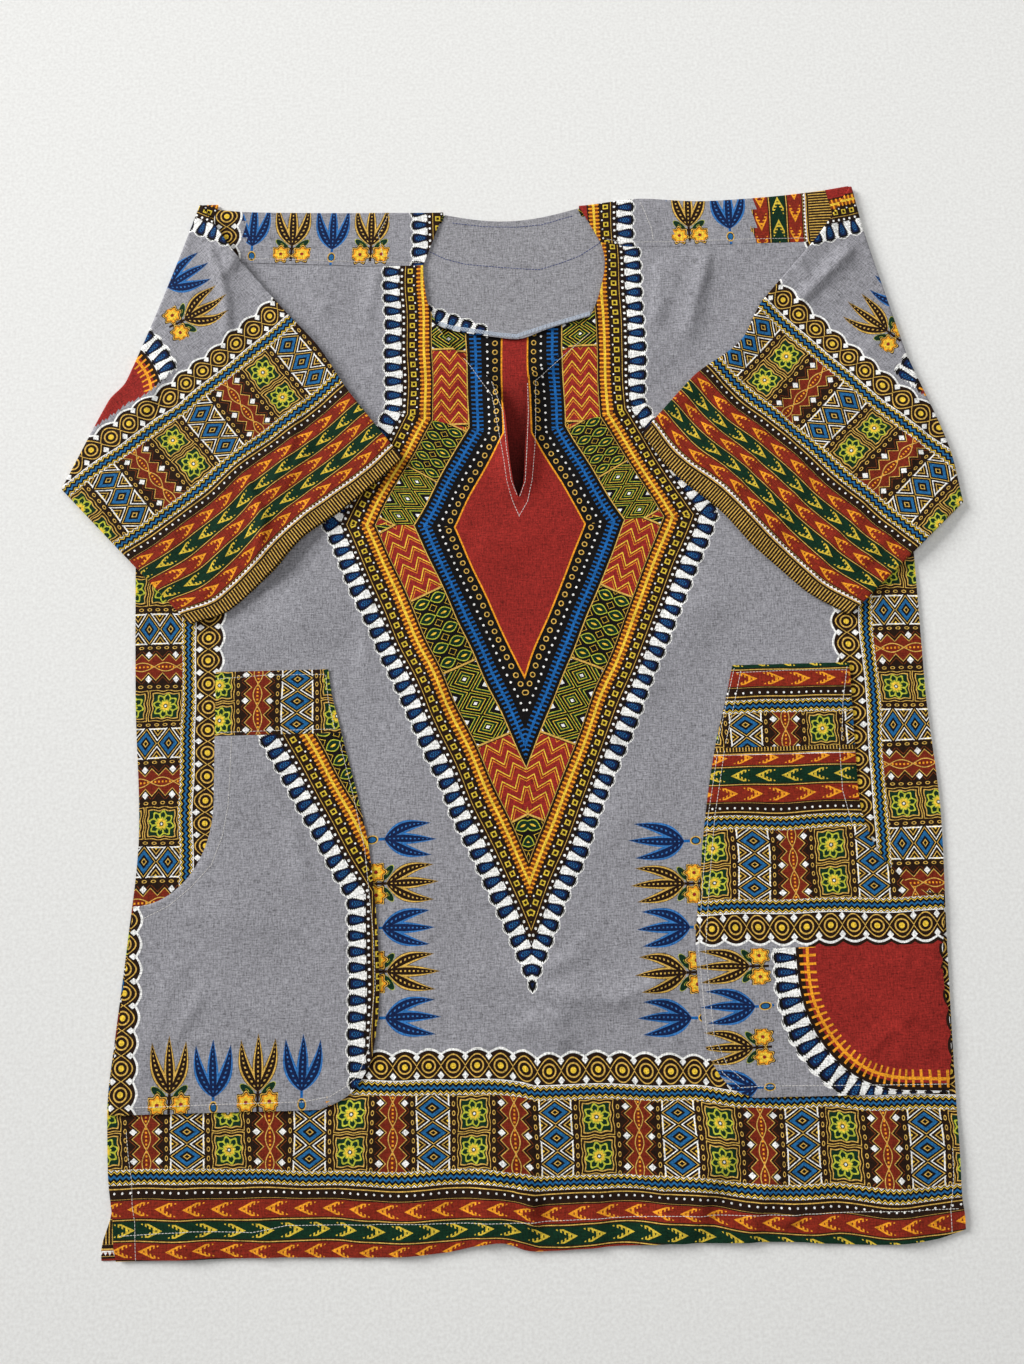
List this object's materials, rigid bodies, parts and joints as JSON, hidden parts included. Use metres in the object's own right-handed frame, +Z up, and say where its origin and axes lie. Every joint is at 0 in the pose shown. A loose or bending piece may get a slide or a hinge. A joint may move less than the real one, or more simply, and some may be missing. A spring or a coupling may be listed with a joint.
{
  "type": "dashiki shirt",
  "caption": "Pullover dashiki shirt laid flat, half sleeves folded in over the front, round neck with a front slit, side pockets with top bands, border-printed cotton.",
  "frame": {"origin": "on the floor, under the middle of the whole part's bounding box", "axes": "+X across the shirt to the viewer's right, +Y from the hem to the neck, +Z up from the floor through the layers"},
  "size_m": [0.7052, 0.813, 0.0086],
  "materials": {
    "printed_ground": "grey cotton with printed border and sprig motifs, matte",
    "printed_border": "cotton printed all over with gold, brick red, blue and brown bands, matte",
    "plain_facing": "plain grey cotton, matte"
  },
  "bodies": {
    "root": {"back_body": "printed_border", "front_body": "printed_ground", "neck_facing_back": "plain_facing", "pocket_left": "printed_ground", "pocket_left_band": "printed_border", "pocket_right": "printed_border", "pocket_right_band": "printed_border", "sleeve_left": "printed_border", "sleeve_right": "printed_border"}
  },
  "joints": []
}
